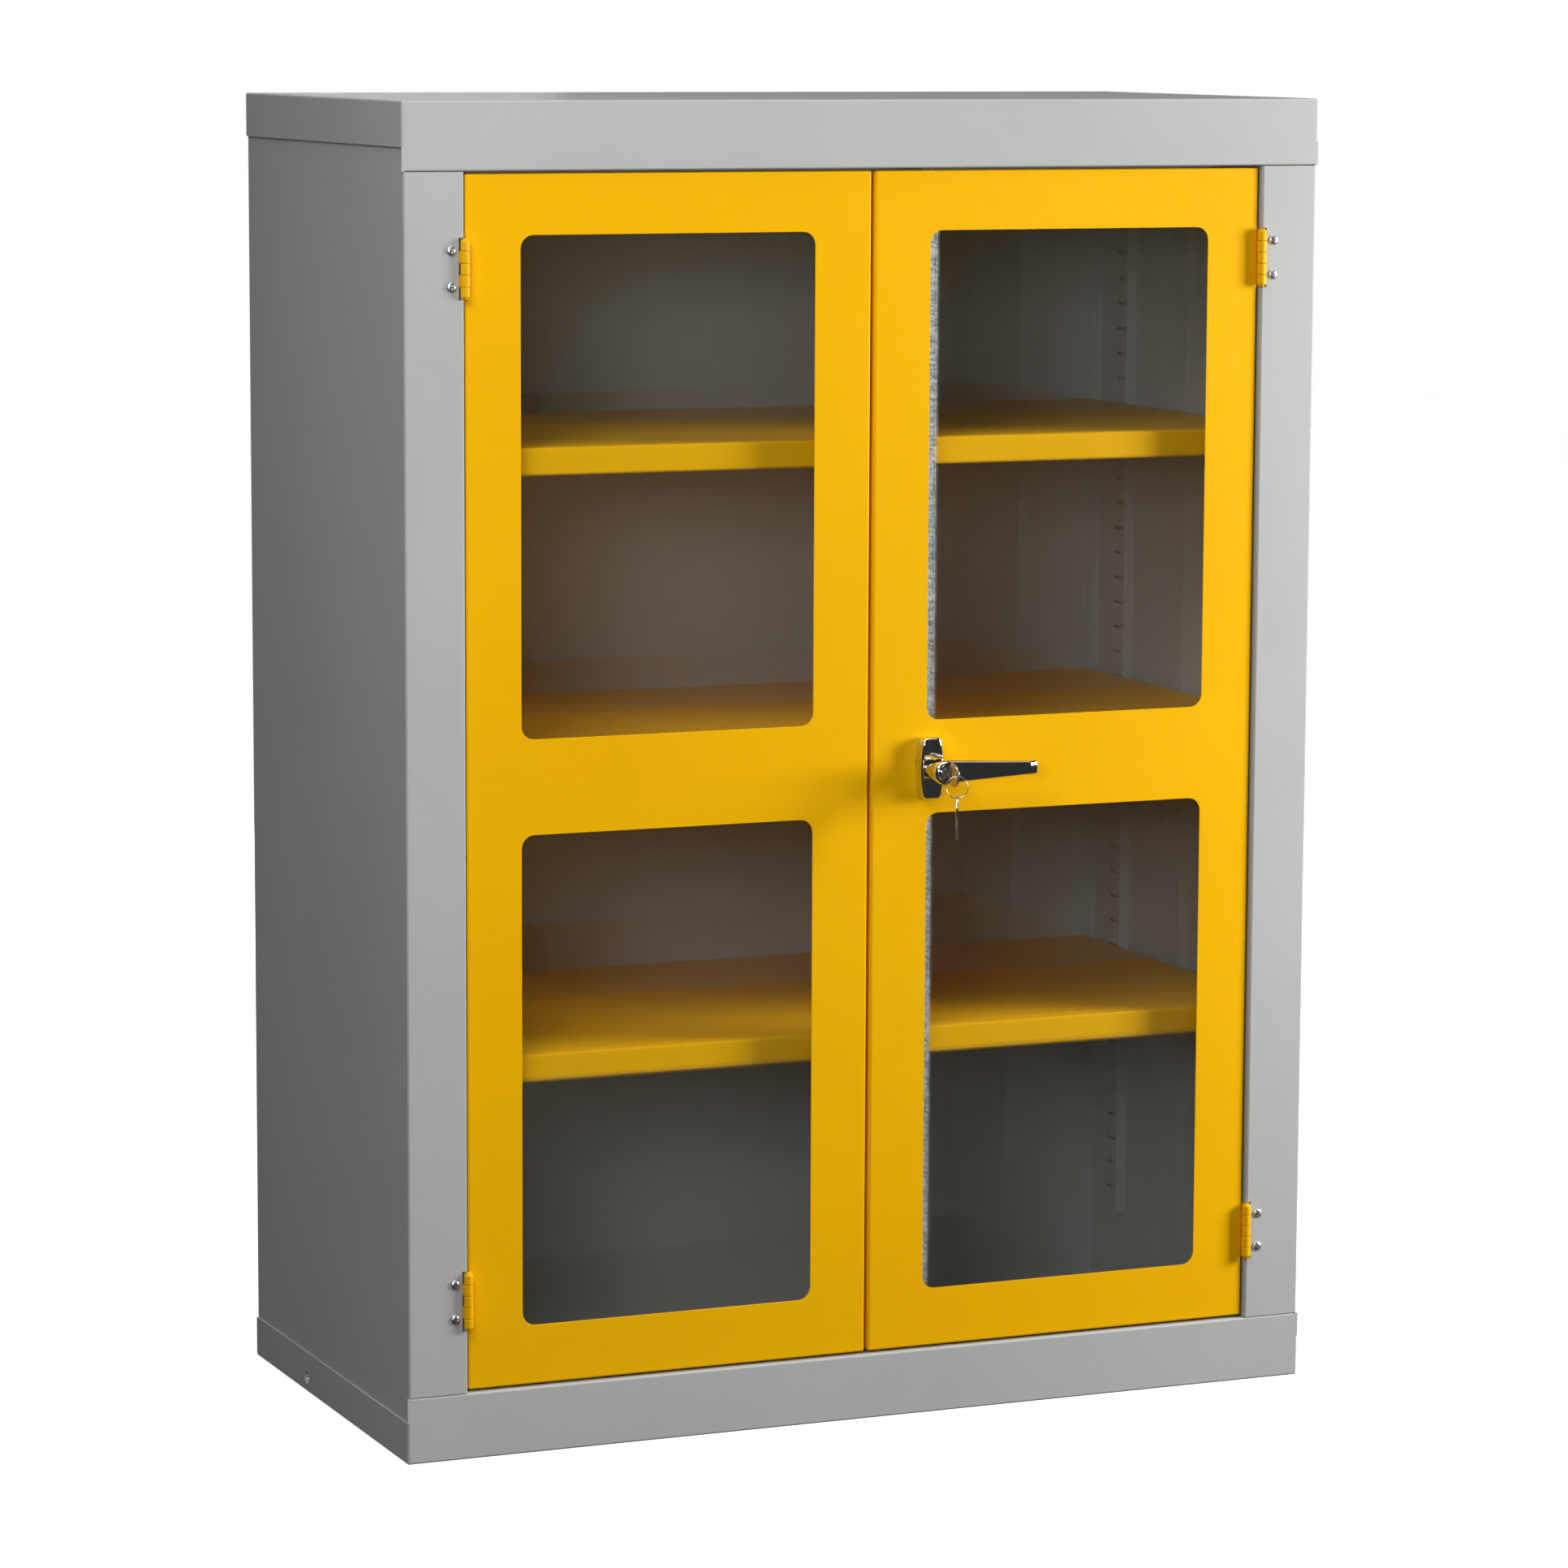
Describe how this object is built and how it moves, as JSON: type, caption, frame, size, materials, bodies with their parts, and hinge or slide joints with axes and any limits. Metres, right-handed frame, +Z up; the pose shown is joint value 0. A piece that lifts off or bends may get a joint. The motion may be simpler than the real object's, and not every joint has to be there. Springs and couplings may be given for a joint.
{
  "type": "flammable storage cabinet",
  "caption": "Free-standing steel safety cabinet with two glazed hinged doors, slotted shelf strips, tray shelves, a sump base and a lever handle that drives top and bottom locking rods.",
  "frame": {"origin": "on the floor, under the middle of the body's width and depth", "axes": "+X to the right seen from the front, +Y to the back, +Z up"},
  "size_m": [0.904, 0.5236, 1.22],
  "materials": {
    "body_grey": "light grey powder coat, satin",
    "door_yellow": "safety yellow powder coat, satin",
    "shelf_yellow": "yellow powder coat, satin",
    "zinc": "bright zinc plate",
    "rubber": "matt black",
    "polycarbonate": "clear, lightly scratched",
    "galvanised": "spangled galvanised sheet",
    "chrome": "polished chrome plate",
    "key_steel": "nickel plate, worn"
  },
  "bodies": {
    "cabinet": {"left_side_panel": "body_grey", "right_side_panel": "body_grey", "back_panel": "body_grey", "top_cap": "body_grey", "base_tray": "body_grey", "shelf_strip_front_left": "body_grey", "shelf_strip_front_right": "body_grey", "shelf_strip_rear_left": "body_grey", "shelf_strip_rear_right": "body_grey", "lower_shelf": "shelf_yellow", "middle_shelf": "shelf_yellow", "upper_shelf": "shelf_yellow", "lower_shelf_clips": "zinc", "middle_shelf_clips": "zinc", "upper_shelf_clips": "zinc", "hinge_screws": "zinc", "hinge_nuts": "zinc", "earth_insert": "zinc", "door_bumpers": "rubber", "hinge_frame_leaf_left_lower": "door_yellow", "hinge_frame_leaf_left_upper": "door_yellow", "hinge_frame_leaf_right_lower": "door_yellow", "hinge_frame_leaf_right_upper": "door_yellow", "hinge_pin_left_lower": "door_yellow", "hinge_pin_left_upper": "door_yellow", "hinge_pin_right_lower": "door_yellow", "hinge_pin_right_upper": "door_yellow"},
    "left_door": {"left_door_panel": "door_yellow", "left_door_window_lower": "polycarbonate", "left_door_window_upper": "polycarbonate", "left_window_retainers": "galvanised", "hinge_door_leaf_left_lower": "door_yellow", "hinge_door_leaf_left_upper": "door_yellow", "left_bolt_guides": "galvanised"},
    "left_top_bolt": {"left_upper_bolt": "galvanised"},
    "left_bottom_bolt": {"left_lower_bolt": "galvanised"},
    "right_door": {"right_door_panel": "door_yellow", "right_door_window_lower": "polycarbonate", "right_door_window_upper": "polycarbonate", "right_window_retainers": "galvanised", "hinge_door_leaf_right_lower": "door_yellow", "hinge_door_leaf_right_upper": "door_yellow", "lock_housing": "chrome", "lock_backing_plate": "zinc", "lock_fixing_screws": "zinc", "rod_guides": "galvanised"},
    "handle": {"lever_handle": "chrome", "handle_spindle": "zinc", "lock_cam": "zinc", "cam_screw": "zinc"},
    "top_rod": {"upper_lock_rod": "galvanised"},
    "bottom_rod": {"lower_lock_rod": "galvanised"},
    "key_set": {"lock_plug": "chrome", "key": "key_steel"},
    "ring": {"key_ring": "key_steel"},
    "second_key": {"spare_key": "key_steel"}
  },
  "joints": [
    {"name": "left_door_hinge", "type": "hinge", "parent": "cabinet", "child": "left_door", "pos_m": [-0.394, -0.2265, 0], "axis": [0, 0, -1], "range_deg": [0, 170]},
    {"name": "right_door_hinge", "type": "hinge", "parent": "cabinet", "child": "right_door", "pos_m": [0.394, -0.2265, 0], "axis": [0, 0, 1], "range_deg": [0, 170]},
    {"name": "left_top_bolt_slide", "type": "slide", "parent": "left_door", "child": "left_top_bolt", "axis": [0, 0, 1], "range_m": [0, 0.015]},
    {"name": "left_bottom_bolt_slide", "type": "slide", "parent": "left_door", "child": "left_bottom_bolt", "axis": [0, 0, -1], "range_m": [0, 0.015]},
    {"name": "handle_turn", "type": "hinge", "parent": "right_door", "child": "handle", "pos_m": [0.057, -0.24, 0.609], "axis": [0, 1, 0], "range_deg": [0, 90]},
    {"name": "top_rod_slide", "type": "slide", "parent": "right_door", "child": "top_rod", "axis": [0, 0, 1], "range_m": [0, 0.0198]},
    {"name": "bottom_rod_slide", "type": "slide", "parent": "right_door", "child": "bottom_rod", "axis": [0, 0, -1], "range_m": [0, 0.0198]},
    {"name": "key_turn", "type": "hinge", "parent": "handle", "child": "key_set", "pos_m": [0.057, -0.26, 0.609], "axis": [0, 1, 0], "range_deg": [0, 90]},
    {"name": "key_ring_swing", "type": "hinge", "parent": "key_set", "child": "ring", "pos_m": [0.057, -0.2885, 0.609], "axis": [0.9205, -0.3907, 0], "range_deg": [-25, 25]},
    {"name": "spare_key_swing", "type": "hinge", "parent": "ring", "child": "second_key", "pos_m": [0.057, -0.2885, 0.589], "axis": [0.9205, -0.3907, 0], "range_deg": [-30, 30]}
  ],
  "couplings": [
    {"joint": "top_rod_slide", "follows": "handle_turn", "m_per_rad": 0.012605},
    {"joint": "bottom_rod_slide", "follows": "handle_turn", "m_per_rad": 0.012605}
  ]
}
